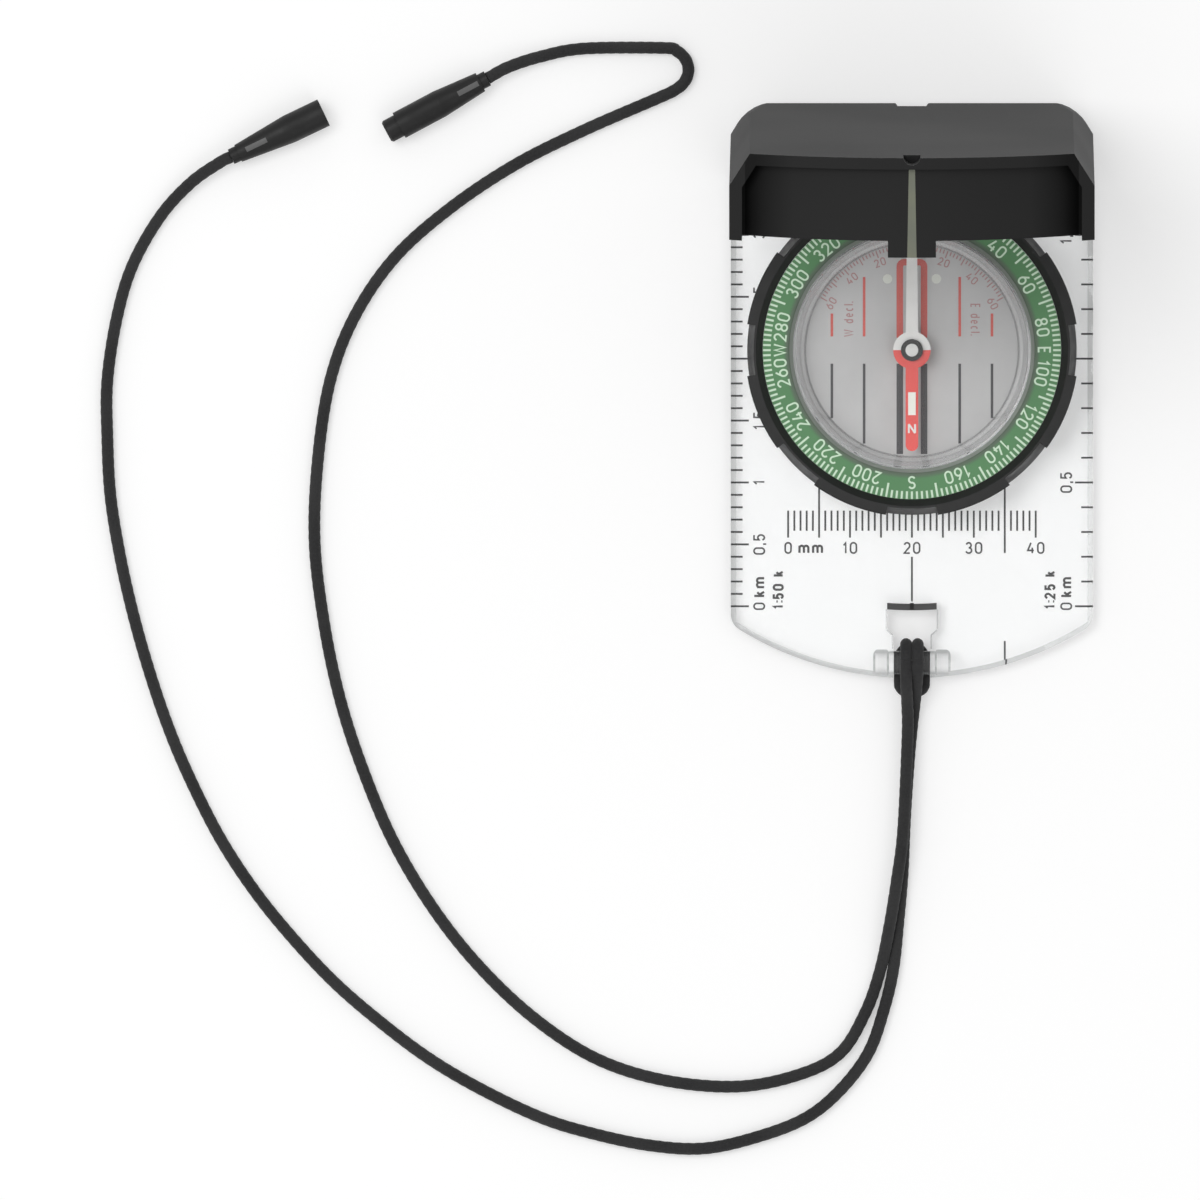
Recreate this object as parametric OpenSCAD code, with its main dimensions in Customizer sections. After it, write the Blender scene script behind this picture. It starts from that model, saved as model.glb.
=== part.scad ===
// Baseplate compass with a hinged sighting cover and a breakaway lanyard.
// Millimetres. The origin lies on the needle's axis at the underside of the base.
// +Y points to the hinge end, +X to the right and +Z up.

/* [Needle] */
// Half length of the needle blade
needle_half = 16.3; // [14:0.1:18]
// Width of the red half of the blade
needle_w = 2.04; // [1.4:0.02:2.6]
// Width of the white half at its tip
needle_tail_w = 1.7; // [1.2:0.02:2.4]
// Radius of the blade's middle disc
needle_disc_r = 3.03; // [2.6:0.01:3.6]
// Thickness of the blade
needle_t = 0.25; // [0.2:0.01:0.4]
// Radius of the hub ring
hub_r = 1.78; // [1.6:0.01:2.1]
// Height of the hub ring above the blade
hub_h = 0.55; // [0.4:0.01:0.8]
// Radius of the hub's core, which passes through the blade
hub_core_r = 1.2; // [1.1:0.01:1.4]
// Depth of the hub's foot under the blade
hub_foot_h = 0.35; // [0.3:0.01:0.5]
// Radius of the jewel bearing
jewel_r = 0.8; // [0.7:0.01:0.95]
// Radius of the white hub cap
cap_r = 1.04; // [0.8:0.01:1.4]
// Thickness of the hub cap
cap_t = 0.25; // [0.2:0.01:0.4]
// Length of the luminous bar on the red half
lume_len = 3.7; // [2.5:0.1:5]
// Width of the luminous bar
lume_w = 1.23; // [0.8:0.01:1.3]
// Distance from the needle's axis to the luminous bar
lume_start = 6.8; // [5:0.1:8]
// Thickness of the luminous bar
lume_t = 0.12; // [0.1:0.01:0.2]

/* [Capsule] */
// Thickness of the bowl's floor
bowl_floor_t = 1.2; // [0.9:0.1:1.6]
// Recess of the bowl's floor above the underside of the base
bowl_recess = 1; // [0.6:0.1:1.3]
// Thickness of the printed floor disc
disc_t = 0.2; // [0.15:0.01:0.4]
// Depth of the vial from the floor disc to the lens
vial_depth = 5.5; // [5:0.1:7]
// How far the vial's side wall leans outwards over its height
vial_lean = 1.6; // [1:0.1:2]
// Width of the bowl's rim under the lens
vial_rim_w = 0.5; // [0.4:0.05:0.9]
// Thickness of the lens
lens_t = 1; // [0.8:0.1:1.4]
// Height of the pivot's tip above the floor disc
pivot_h = 3.35; // [3:0.05:3.6]
// Radius of the pivot's shank
pivot_r = 0.8; // [0.6:0.05:1]
// Radius of the spigot that turns in the base
spigot_r = 21.5; // [20.5:0.1:22.5]
// Thickness of the spigot's wall
spigot_wall = 2.4; // [2:0.1:3]
// Gap between the spigot's end and the underside of the base
spigot_lift = 0.2; // [0.1:0.05:0.4]
// Thickness of the snap ring
snap_t = 0.8; // [0.6:0.05:0.9]
// Height of the spigot's lip under the snap ring
snap_lip = 0.3; // [0.2:0.05:0.5]
// How far the snap ring reaches out past the spigot
snap_reach = 1.2; // [0.8:0.1:1.6]
// Width of the snap ring's split
snap_split = 3; // [2:0.5:6]
// Depth of the snap ring's groove
snap_groove = 0.5; // [0.3:0.05:0.7]
// Radius of a luminous dot
dot_r = 0.8; // [0.5:0.05:1]
// Sideways distance from the axis to a luminous dot
dot_x = 3.94; // [3:0.01:5]
// Distance of the luminous dots from the vial's wall on the hinge's side
dot_inset = 5.6; // [4:0.1:8]

/* [Bezel and dial] */
// Width of the green dial ring
dial_w = 4.85; // [4:0.1:5.5]
// Thickness of the dial ring
dial_t = 2.6; // [2:0.1:3]
// Width of the dial ring's inner chamfer
dial_chamfer = 0.7; // [0.3:0.05:1]
// How far the dial lies below the bezel's top
dial_sink = 1.2; // [0.8:0.1:1.6]
// Chamfer on the bezel ring's outer edges
bezel_edge = 0.2; // [0.1:0.05:0.25]
// Width of the black bezel ring
bezel_w = 2.8; // [2.3:0.1:3.2]
// Thickness of the bowl's flange under the dial
flange_t = 1.2; // [1:0.1:1.6]
// Number of grip notches round the bezel
grip_count = 8; // [6:1:12]
// Angle that one grip notch spans, in degrees
grip_span = 18; // [10:1:24]
// Depth of a grip notch at the bezel's top
grip_top = 1.35; // [0.8:0.05:1.6]
// Depth of a grip notch at the bezel's foot
grip_foot = 0.3; // [0.1:0.05:0.6]

/* [Baseplate] */
// Thickness of the base
base_t = 3; // [2.6:0.1:3.6]
// Radius of the rounded end
base_end_r = 53.5; // [48:0.5:60]
// Radius where a side meets the rounded end
base_corner_r = 3; // [1:0.5:6]
// Width of the bevel along each ruler edge
ruler_bevel_w = 0.9; // [0.5:0.1:1.6]
// Height of the bevel along each ruler edge
ruler_bevel_h = 0.8; // [0.5:0.1:1.4]
// Chamfer round the end
end_chamfer = 0.8; // [0.4:0.1:1.2]
// How far the base reaches past the hinge axis
base_overhang = 0.5; // [0.3:0.1:1]
// Half width of the latch slot
slot_half = 4; // [3.6:0.1:5]
// Length of the slot's tapered stretch
slot_taper = 0.9; // [0.5:0.1:1.5]
// Length of the slot's neck
neck_len = 2.6; // [2:0.1:4]
// Half width of the neck and of the passage under the eyelet bar
neck_half = 3; // [2.95:0.05:3.4]
// Height of the passage under the eyelet bar
passage_h = 2.05; // [2:0.05:2.3]
// Height of the eyelet bar
bar_h = 2.3; // [2:0.1:2.8]
// Width of the eyelet bar
bar_w = 3.8; // [3.4:0.1:4.4]
// Width of the base between the eyelet bar and the end
bar_margin = 0.6; // [0.3:0.1:1]
// Half width of the eyelet bar between its two bosses
bar_half = 3.7; // [3.5:0.1:4.2]
// Half width over the two eyelet bosses
boss_half = 6.25; // [5.5:0.05:7.5]
// Length of an eyelet boss
boss_w = 4.4; // [4:0.1:5]
// Top of an eyelet boss above the underside
boss_top = 4.6; // [4.4:0.1:5.2]
// Corner radius of an eyelet boss
boss_corner = 1; // [0.4:0.1:1.4]
// Chamfer at the two ends of an eyelet boss
boss_chamfer = 0.35; // [0.1:0.05:0.6]
// Chamfer along the slot's top edges
slot_chamfer = 0.25; // [0.1:0.05:0.4]
// Width of the catch bar
catch_w = 1.2; // [0.9:0.1:1.6]
// Height of the catch bar
catch_h = 1.2; // [0.8:0.1:1.6]
// How far the middle of the catch bar bows into the slot
catch_bow = 0.15; // [0.05:0.01:0.25]
// Width of the sighting mark cut across the catch bar
catch_mark_w = 0.65; // [0.3:0.05:0.9]
// Depth of the sighting mark
catch_mark_h = 0.2; // [0.1:0.05:0.4]

/* [Cover] */
// Angle of the cover from closed, in degrees
cover_angle = 83; // [0:0.5:105]
// Distance from the hinge axis to the outside of the end panel
cover_reach = 72.55; // [70:0.05:76]
// Depth of the cover from its rim to its outer face
cover_depth = 14.1; // [13.4:0.1:15]
// Thickness of a side wall
cover_wall = 2.05; // [1.8:0.05:2.4]
// Thickness of the outer wall
cover_top_t = 1.85; // [1.5:0.05:2.2]
// Thickness of the end panel
panel_t = 2; // [1.6:0.1:2.4]
// How far the frame's lip stands past the end panel
lip = 1.3; // [0.8:0.1:2]
// Gap between the end panel's lower edge and the rim's plane
panel_lift = 0.6; // [0.3:0.1:1]
// Radius of the bowed free end
cover_end_r = 60; // [54:1:90]
// Radius of the bowed end panel
panel_bow_r = 50; // [46:1:70]
// Width of the chamfer along the outer wall
chamfer_w = 3.3; // [2.5:0.05:5]
// Depth of the chamfer along the side wall
chamfer_h = 5.4; // [4:0.1:6]
// Thickness of the wall behind the hinge
heel_t = 1.9; // [1.5:0.1:2.4]
// Radius of the outer edge at the hinge end
heel_r = 3; // [1.5:0.1:4]
// Radius to which the outer corners are eased at the hinge end
heel_corner_r = 8; // [4:0.5:9]
// Height of the heel's stop edge above the hinge axis
heel_stop = 1.2; // [1.1:0.05:1.5]
// Half width of the latch tab
tab_half = 3.85; // [3:0.05:3.9]
// How far the latch tab stands past the end panel
tab_len = 2.7; // [2:0.1:3]
// Width of the sight line at its narrow end
sight_w0 = 1; // [0.6:0.05:1.4]
// Width of the sight line at the latch tab
sight_w1 = 1.5; // [1:0.05:2]
// Depth of the sight line's groove
sight_t = 0.8; // [0.5:0.05:1.2]
// Radius of the sighting notch in the lip
notch_r = 1.4; // [1:0.05:1.8]
// Half width of the notch in the hinge edge
hinge_notch_half = 2.3; // [1.5:0.1:3]
// Depth of the notch in the hinge edge
hinge_notch_d = 0.7; // [0.3:0.1:1]
// Length of the notch in the hinge edge
hinge_notch_len = 5; // [3:0.5:8]
// Thickness of the cover behind its chamfers
chamfer_t = 1.8; // [1.3:0.05:2]
// Length of the sighting notch
notch_len = 4; // [2:0.5:6]
// Thickness of the mirror
mirror_t = 1.75; // [1:0.05:2]
// Border between the mirror and the cover's walls
mirror_border = 1.5; // [0.8:0.1:3]

/* [Hinge] */
// Radius of a hinge knuckle
knuckle_r = 2.2; // [2:0.05:2.6]
// Radius of a hinge pin
pin_r = 0.75; // [0.6:0.05:0.9]
// Length of a hinge pin in its lug
pin_seat = 4; // [3:0.1:4.5]
// Width of a hinge lug on the base
lug_w = 4.7; // [4:0.1:5.5]
// Width of a hinge ear on the cover
ear_w = 4.05; // [3:0.05:5]
// Thickness of a friction washer
washer_t = 0.4; // [0.3:0.05:0.6]
// Radius of a friction washer
washer_r = 1.9; // [1.6:0.05:2.1]

/* [Lanyard] */
// Diameter of the cord
cord_d = 1.9; // [1.6:0.05:2]
// Distance between the middles of the two strands under the eyelet bar
hitch_w = 3.9; // [3.8:0.05:4]
// Reach of the hitch's loop past the eyelet bar, to the middle of its cord
hitch_loop = 2.7; // [2.6:0.1:3.2]
// Radius at which the loop's cord turns its corners
hitch_bend = 1.2; // [1.1:0.05:1.7]
// Gap between the hitch and the eyelet bar
hitch_gap = 0.15; // [0.1:0.01:0.2]
// Length of the socket connector without its collar
socket_len = 15.3; // [12:0.1:18]
// Diameter of the socket connector's mouth
socket_d = 4.7; // [4.4:0.05:5.2]
// Diameter of the socket connector's rear
socket_rear_d = 3; // [2.6:0.05:3.4]
// Length of the plug connector's body
plug_len = 14.9; // [12:0.1:17]
// Diameter of the plug connector's body
plug_d = 4.55; // [4.2:0.05:5]
// Diameter of the plug connector's rear
plug_rear_d = 3.35; // [2.8:0.05:3.6]
// Length of the plug's nose
nose_len = 2.3; // [1.6:0.1:3.5]
// Diameter of the plug's nose
nose_d = 3.8; // [3.4:0.05:4]
// Length of the collar behind each connector
collar_len = 1.3; // [1:0.1:2]
// Diameter of the collar behind each connector
collar_d = 2.6; // [2.4:0.05:2.8]
// Length of the grey inset on each connector
inset_len = 3.7; // [2.5:0.1:4.5]
// Width of the grey inset
inset_w = 0.85; // [0.6:0.05:1.2]
// Depth of the grey inset
inset_t = 0.4; // [0.2:0.05:0.6]

/* [Clearances] */
// Axial gap between the turning capsule and the base
turn_gap = 0.1; // [0.05:0.01:0.2]
// Radial running clearance of the capsule in the base
bore_gap = 0.05; // [0.02:0.01:0.1]
// Radial running clearance of the hinge pins
pin_gap = 0.05; // [0.02:0.01:0.1]
// Gap beside each part of the hinge
hinge_gap = 0.05; // [0.03:0.01:0.1]
// Clearance round a piece that is fixed in its seat
seat = 0.03; // [0.01:0.01:0.05]
// Gap between the needle's tip and the vial's wall
needle_gap = 0.8; // [0.5:0.1:1.5]
// Gap between the pivot's tip and the jewel
pivot_gap = 0.05; // [0.03:0.01:0.08]
// Gap between the bezel and the closed cover's side walls
bezel_gap = 0.3; // [0.2:0.05:0.6]
// Gap between the bezel and the hinge axis
hinge_back = 1.25; // [1:0.05:2]
// Gap between the closed cover's rim and the base
rim_gap = 0.1; // [0.05:0.01:0.2]
// Gap between the latch tab and the catch bar
tab_gap = 0.5; // [0.4:0.05:0.8]
// Gap between the latch tab and the slot's far end
slot_gap = 0.7; // [0.5:0.05:1]
// Gap that lets a hinge lug turn inside the cover
lug_gap = 0.3; // [0.2:0.05:0.5]
// Radial gap round the snap ring
snap_gap = 0.3; // [0.2:0.05:0.5]

/* [Hidden] */
$fn = 64;
cut = 0.5;     // how far a cutting shape runs past the face that it opens

// Radii of the capsule, from the needle outwards
vial_r = needle_half + needle_gap;
lens_r = vial_r + vial_lean + vial_rim_w;
dot_y = vial_r - dot_inset;
dial_r0 = lens_r + seat;
dial_r1 = dial_r0 + dial_w;
bezel_r0 = dial_r1 + seat;
bezel_r1 = bezel_r0 + bezel_w;

// Heights of the capsule, from the base upwards
bowl_z0 = bowl_recess;
floor_z = bowl_z0 + bowl_floor_t;
disc_z = floor_z + disc_t;
lens_z = disc_z + vial_depth;
bezel_z0 = base_t + turn_gap;
dial_z0 = bezel_z0 + flange_t;
dial_z1 = dial_z0 + dial_t;
bezel_z1 = dial_z1 + dial_sink;
snap_z0 = spigot_lift + snap_lip;
snap_z1 = snap_z0 + snap_t;
ledge_z = snap_z1 + turn_gap;

// Heights of the needle
tip_z = disc_z + pivot_h;
jewel_top = tip_z + pivot_gap + 0.25;
blade_z = jewel_top - hub_h - needle_t;

// Plan of the base and cover
half_w = bezel_r1 + bezel_gap + cover_wall;
hinge_y = bezel_r1 + hinge_back;
hinge_z = base_t + rim_gap + knuckle_r;
base_y1 = hinge_y + base_overhang;
panel_y = hinge_y - cover_reach;
catch_y = panel_y + panel_t + tab_gap;
slot_y = panel_y - slot_gap;
neck_y = slot_y - slot_taper;
bar_y1 = neck_y - neck_len;
bar_y = bar_y1 - bar_w / 2;
bar_y0 = bar_y1 - bar_w;
base_y0 = bar_y0 - bar_margin;
bar_z = passage_h + bar_h / 2;

// The cover in its own frame: s runs from the hinge axis to the free end, and t
// from the hinge axis away from the base when the cover is closed
rim_t = -knuckle_r;
top_t = cover_depth + rim_t;
lip_s = cover_reach + lip;
mirror_face_t = top_t - cover_top_t - mirror_t;

// The hinge along X, from the side wall inwards
ear_x0 = half_w - ear_w;
washer_x1 = ear_x0 - hinge_gap;
washer_x0 = washer_x1 - washer_t;
lug_x1 = washer_x0 - hinge_gap;
lug_x0 = lug_x1 - lug_w;

// Strands of the hitch on the eyelet bar
cord_r = cord_d / 2;
wrap_r = bar_h / 2 + cord_r + hitch_gap;
wrap_y = bar_y1 - bar_h / 2;
top_x = cord_r + seat;
low_x = hitch_w / 2;
low_strand_z = bar_z - wrap_r;
loop_y = bar_y0 - hitch_loop;

// Routes of the two cords from the hitch to their connectors, which lie on the
// surface under the base. The inner cord rests on the outer one near the hitch.
outer_route = [
    [0.98, -50.05, 5.45], [0.98, -51.9, 5.4], [0.4, -57.5, 2], [0, -61, 1.1],
    [-0.5, -66.5, 0.95], [-1.1, -75.5, 0.95], [-1.5, -84.5, 0.95], [-2.2, -92.5, 0.95],
    [-3, -100, 0.95], [-4.5, -106.5, 0.95], [-7, -113.5, 0.95], [-11.5, -119.5, 0.95],
    [-17, -124, 0.95], [-24.5, -127, 0.95], [-33.5, -129, 0.95], [-42.5, -128.5, 0.95],
    [-52, -126.5, 0.95], [-60, -124, 0.95], [-69.5, -119.5, 0.95], [-78, -114.5, 0.95],
    [-86, -108.5, 0.95], [-93.5, -102, 0.95], [-100.5, -94.5, 0.95], [-106.5, -87, 0.95],
    [-112, -78.5, 0.95], [-117, -68.5, 0.95], [-120.5, -60, 0.95], [-123.5, -51, 0.95],
    [-126, -42, 0.95], [-128, -33, 0.95], [-129.5, -23.5, 0.95], [-130, -14, 0.95],
    [-130, -5, 0.95], [-128.5, 5, 0.95], [-126, 13.5, 0.95], [-121.5, 21.5, 1],
    [-116.5, 27, 1.7], [-111.8, 30.3, 2.3], [-110, 31.2, 2.35]
];
inner_route = [
    [-0.98, -50.05, 5.45], [-0.98, -53.8, 5.4], [-0.75, -57.5, 3.8], [-0.7, -62.5, 2.9],
    [-1.4, -77.5, 2.85], [-2.4, -85.5, 2.7], [-3.7, -93.5, 2.35], [-5.2, -100.5, 1],
    [-7.5, -107, 0.95], [-11.5, -113.5, 0.95], [-18, -117, 0.95], [-28, -119, 0.95],
    [-40, -118, 0.95], [-51, -114.5, 0.95], [-61, -108, 0.95], [-70, -99.5, 0.95],
    [-77.5, -90, 0.95], [-84, -79, 0.95], [-89, -67, 0.95], [-92.5, -56, 0.95],
    [-95, -44, 0.95], [-96.5, -31, 0.95], [-96, -18, 0.95], [-94, -5, 0.95],
    [-90, 5.5, 0.95], [-83.5, 15, 0.95], [-74.5, 23, 0.95], [-64, 30, 0.95],
    [-53, 35.5, 0.95], [-41.5, 40.5, 0.95], [-38.3, 42, 0.95], [-36.7, 43.4, 0.95],
    [-36.1, 45.2, 0.95], [-36.6, 47, 0.95], [-38, 48.3, 0.95], [-40, 48.8, 0.95],
    [-53, 48.7, 0.95], [-60, 47.4, 1.3], [-65.2, 45.7, 2.1], [-68.55, 43.9, 2.3]
];
cord_sides = 8;
// Direction in which each connector points away from its cord, in degrees
socket_turn = 25.6;
plug_turn = 208.1;
// Lengths of the connectors' tapers, and places of their insets from the cord's end
socket_taper = socket_len * 0.6;
plug_taper = plug_len * 0.5;
socket_inset_at = collar_len + inset_len / 2 + 1.4;
plug_inset_at = collar_len + inset_len / 2 + 0.4;

// Points on an arc about c from angle a0 to a1, both in degrees
function arc(c, r, a0, a1, n) =
    [for (i = [0:n]) c + r * [cos(a0 + (a1 - a0) * i / n), sin(a0 + (a1 - a0) * i / n)]];
function unit(v) = v / norm(v);
// Direction of a route at its point i
function heading(p, i) = unit(p[min(i + 1, len(p) - 1)] - p[max(i - 1, 0)]);
// A ring of points round a route's point i, turned so that one of them faces up
function ring(p, i, r, sides, up) =
    let (d = heading(p, i), side = unit(cross(d, up)), top = cross(side, d))
    [for (k = [0:sides - 1]) p[i] + r * (side * cos(360 * k / sides) + top * sin(360 * k / sides))];

// A tube swept along a route, with one ring of points at each of its points. Each
// ring's upward direction is +Z, or the one in ups at the same place.
module swept_tube(route, r, sides, ups = []) {
    rings = len(route);
    points = [
        for (i = [0:rings - 1]) each ring(route, i, r, sides, i < len(ups) ? ups[i] : [0, 0, 1])
    ];
    walls = [
        for (i = [0:rings - 2], k = [0:sides - 1])
            let (next = (k + 1) % sides, here = i * sides, there = here + sides)
            each [[here + k, there + k, there + next], [here + k, there + next, here + next]]
    ];
    first = [for (k = [0:sides - 1]) k];
    last = [for (k = [sides - 1:-1:0]) (rings - 1) * sides + k];
    polyhedron(points, concat(walls, [first, last]));
}

module at_sides() {
    for (m = [0, 1]) mirror([m, 0, 0]) children();
}

// A cylinder along X from x0 to x1
module bar_x(x0, x1, r) {
    translate([x0, 0, 0]) rotate([0, 90, 0]) cylinder(h = x1 - x0, r = r);
}

// Places what is drawn in the closed cover's frame, about the hinge axis
module in_cover() {
    translate([0, hinge_y, hinge_z]) rotate([-cover_angle, 0, 0]) children();
}

// Extrudes a profile drawn as (s, t) across the cover from x0 to x1
module across(x0, x1) {
    translate([x0, 0, 0])
        rotate([90, 0, 90]) linear_extrude(x1 - x0) mirror([1, 0]) children();
}

// Extrudes a profile drawn as (x, t) along the cover from s0 to s1
module along(s0, s1) {
    translate([0, -s0, 0]) rotate([90, 0, 0]) linear_extrude(s1 - s0) children();
}

// A rectangle with rounded corners
module round_rect(x0, y0, x1, y1, r) {
    translate([x0 + r, y0]) square([x1 - x0 - 2 * r, y1 - y0]);
    translate([x0, y0 + r]) square([x1 - x0, y1 - y0 - 2 * r]);
    for (x = [x0 + r, x1 - r], y = [y0 + r, y1 - r]) translate([x, y]) circle(r);
}

// ---- Base ----

// Plan of the base: straight ruler edges, each rounded into a tangent of the end arc
end_c = base_y0 + base_end_r;
corner_x = half_w - base_corner_r;
corner_y = end_c - sqrt(pow(base_end_r - base_corner_r, 2) - pow(corner_x, 2));
corner_turn = atan2(corner_y - end_c, corner_x);
module base_plan() {
    side = arc([corner_x, corner_y], base_corner_r, 0, corner_turn, 8);
    tangent_y = end_c + base_end_r / sin(corner_turn);
    polygon(concat(
        [[half_w, base_y1]], side, [[0, tangent_y]],
        [for (i = [len(side) - 1:-1:0]) [-side[i].x, side[i].y]], [[-half_w, base_y1]]
    ));
}

module base_body() {
    intersection() {
        linear_extrude(base_t) base_plan();
        translate([0, base_y1, 0]) rotate([90, 0, 0]) linear_extrude(base_y1 - base_y0)
            polygon([
                [-half_w, 0], [half_w, 0], [half_w, base_t - ruler_bevel_h],
                [half_w - ruler_bevel_w, base_t], [ruler_bevel_w - half_w, base_t],
                [-half_w, base_t - ruler_bevel_h]
            ]);
        translate([0, end_c, 0]) rotate_extrude($fn = 180)
            polygon([
                [0, 0], [base_end_r, 0], [base_end_r, base_t - end_chamfer],
                [base_end_r - end_chamfer, base_t], [0, base_t]
            ]);
    }
}

// The latch slot, its neck and the gap that the eyelet bar spans
module slot_cut() {
    translate([0, 0, -cut]) linear_extrude(base_t + 2 * cut)
        polygon([
            [-slot_half, catch_y], [-slot_half, slot_y], [-neck_half, neck_y],
            [-neck_half, bar_y1], [neck_half, bar_y1], [neck_half, neck_y],
            [slot_half, slot_y], [slot_half, catch_y]
        ]);
    translate([-neck_half, base_y0 - cut, -cut])
        cube([2 * neck_half, bar_y1 - base_y0 + 2 * cut, base_t + 2 * cut]);
    translate([-slot_half, catch_y - cut, base_t - catch_h])
        cube([2 * slot_half, catch_w + cut, catch_h + cut]);
    for (x = [-1, 1]) {
        edge_cut([x * slot_half, catch_y], [x * slot_half, slot_y]);
        edge_cut([x * slot_half, slot_y], [x * neck_half, neck_y]);
        edge_cut([x * neck_half, neck_y], [x * neck_half, bar_y + boss_w / 2]);
    }
}

// Chamfers the top edge of the base that runs from a to b
module edge_cut(a, b) {
    w = slot_chamfer * sqrt(2);
    translate([a.x, a.y, base_t]) rotate([0, 0, atan2(b.y - a.y, b.x - a.x)])
        rotate([45, 0, 0]) translate([0, -w / 2, -w / 2]) cube([norm(b - a), w, w]);
}

module eyelet_bar() {
    nose = bar_h / 2;
    for (y = [bar_y0 + nose, bar_y1 - nose])
        translate([0, y, bar_z]) bar_x(-bar_half, bar_half, nose);
    translate([-bar_half, bar_y0 + nose, passage_h])
        cube([2 * bar_half, bar_w - bar_h, bar_h]);
}

module eyelet_boss() {
    r = boss_w / 2;
    intersection() {
        linear_extrude(boss_top)
            round_rect(bar_half - boss_corner, bar_y - r, boss_half, bar_y + r, boss_corner);
        union() {
            translate([0, bar_y, boss_top - r]) {
                e = boss_chamfer;
                bar_x(bar_half + e, boss_half - e, r);
                translate([bar_half, 0, 0]) rotate([0, 90, 0]) cylinder(h = e, r1 = r - e, r2 = r);
                translate([boss_half - e, 0, 0]) rotate([0, 90, 0])
                    cylinder(h = e, r1 = r, r2 = r - e);
            }
            translate([bar_half, bar_y - r, 0]) cube([boss_half - bar_half, boss_w, boss_top - r]);
        }
        translate([bar_half, bar_y - r, 0]) cube([boss_half, boss_w, boss_top]);
    }
}

module hinge_lug() {
    translate([0, hinge_y, hinge_z]) bar_x(lug_x0, lug_x1, knuckle_r);
    translate([lug_x0, hinge_y - knuckle_r, 0]) cube([lug_w, 2 * knuckle_r, hinge_z]);
}

module baseplate() {
    color([0.86, 0.9, 0.9, 0.45]) difference() {
        union() {
            difference() {
                base_body();
                slot_cut();
            }
            eyelet_bar();
            at_sides() eyelet_boss();
            at_sides() hinge_lug();
        }
        translate([0, 0, ledge_z - cut]) cylinder(h = base_t, r = spigot_r + bore_gap);
        translate([0, 0, -cut]) cylinder(h = ledge_z + cut, r = spigot_r + snap_reach + snap_gap);
        at_sides() translate([0, hinge_y, hinge_z])
            bar_x(lug_x1 - pin_seat, lug_x1 + cut, pin_r + seat);
    }
}

module catch_bar() {
    bow_r = (pow(slot_half, 2) + pow(catch_bow, 2)) / (2 * catch_bow);
    half_turn = asin(slot_half / bow_r);
    bow_c = [0, catch_y - catch_bow + bow_r];
    color([0.35, 0.35, 0.35]) difference() {
        translate([0, 0, base_t - catch_h]) linear_extrude(catch_h)
            polygon(concat(
                arc(bow_c + [0, catch_w - catch_bow], bow_r, 270 + half_turn, 270 - half_turn, 12),
                arc(bow_c, bow_r, 270 - half_turn, 270 + half_turn, 12)
            ));
        translate([-catch_mark_w / 2, catch_y - cut, base_t - catch_mark_h])
            cube([catch_mark_w, catch_w + 2 * cut, catch_mark_h + cut]);
    }
}

module hinge_pins() {
    color("silver") at_sides() translate([0, hinge_y, hinge_z])
        bar_x(lug_x1 - pin_seat, half_w - seat, pin_r);
}

module hinge_washers() {
    color([0.75, 0.72, 0.6]) at_sides() translate([0, hinge_y, hinge_z]) difference() {
        bar_x(washer_x0, washer_x1, washer_r);
        bar_x(washer_x0 - cut, washer_x1 + cut, pin_r + pin_gap);
    }
}

// ---- Capsule ----

module bezel_ring() {
    inner = dial_sink - 0.1;
    slope = (grip_top - grip_foot) / (bezel_z1 - bezel_z0);
    color([0.13, 0.13, 0.13]) difference() {
        rotate_extrude($fn = 180) polygon([
            [bezel_r0, bezel_z0], [bezel_r1 - bezel_edge, bezel_z0],
            [bezel_r1, bezel_z0 + bezel_edge],
            [bezel_r1, bezel_z1 - bezel_edge], [bezel_r1 - bezel_edge, bezel_z1],
            [bezel_r0 + inner, bezel_z1], [bezel_r0, bezel_z1 - inner]
        ]);
        for (i = [0:grip_count - 1])
            rotate([0, 0, i * 360 / grip_count - grip_span / 2])
                rotate_extrude(angle = grip_span, $fn = 180) polygon([
                    [bezel_r1 - grip_foot + slope * cut, bezel_z0 - cut],
                    [bezel_r1 + cut, bezel_z0 - cut], [bezel_r1 + cut, bezel_z1 + cut],
                    [bezel_r1 - grip_top - slope * cut, bezel_z1 + cut]
                ]);
    }
}

module dial_ring() {
    color([0.35, 0.62, 0.38]) rotate_extrude($fn = 180) polygon([
        [dial_r0, dial_z0], [dial_r1, dial_z0], [dial_r1, dial_z1],
        [dial_r0 + dial_chamfer, dial_z1], [dial_r0, dial_z1 - dial_chamfer]
    ]);
}

module vial_bowl() {
    spigot_r0 = spigot_r - spigot_wall;
    color([0.8, 0.84, 0.84, 0.5]) rotate_extrude($fn = 180) polygon([
        [0, bowl_z0], [spigot_r0, bowl_z0], [spigot_r0, spigot_lift], [spigot_r, spigot_lift],
        [spigot_r, snap_z0], [spigot_r - snap_groove, snap_z0],
        [spigot_r - snap_groove, snap_z1], [spigot_r, snap_z1], [spigot_r, bezel_z0],
        [dial_r1, bezel_z0], [dial_r1, dial_z0], [lens_r, dial_z0], [lens_r, lens_z],
        [vial_r + vial_lean, lens_z], [vial_r, disc_z], [vial_r, floor_z], [0, floor_z]
    ]);
}

module dots(r, z0, h) {
    for (x = [-dot_x, dot_x]) translate([x, dot_y, z0]) cylinder(h = h, r = r);
}

module vial_floor() {
    color([0.7, 0.7, 0.7]) difference() {
        translate([0, 0, floor_z]) cylinder(h = disc_t, r = vial_r - seat);
        translate([0, 0, floor_z - cut]) cylinder(h = disc_t + 2 * cut, r = pivot_r + seat);
        dots(dot_r, floor_z - cut, disc_t + 2 * cut);
    }
}

module lume_dots() {
    color([0.85, 0.9, 0.8]) dots(dot_r - seat, floor_z, disc_t);
}

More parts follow.
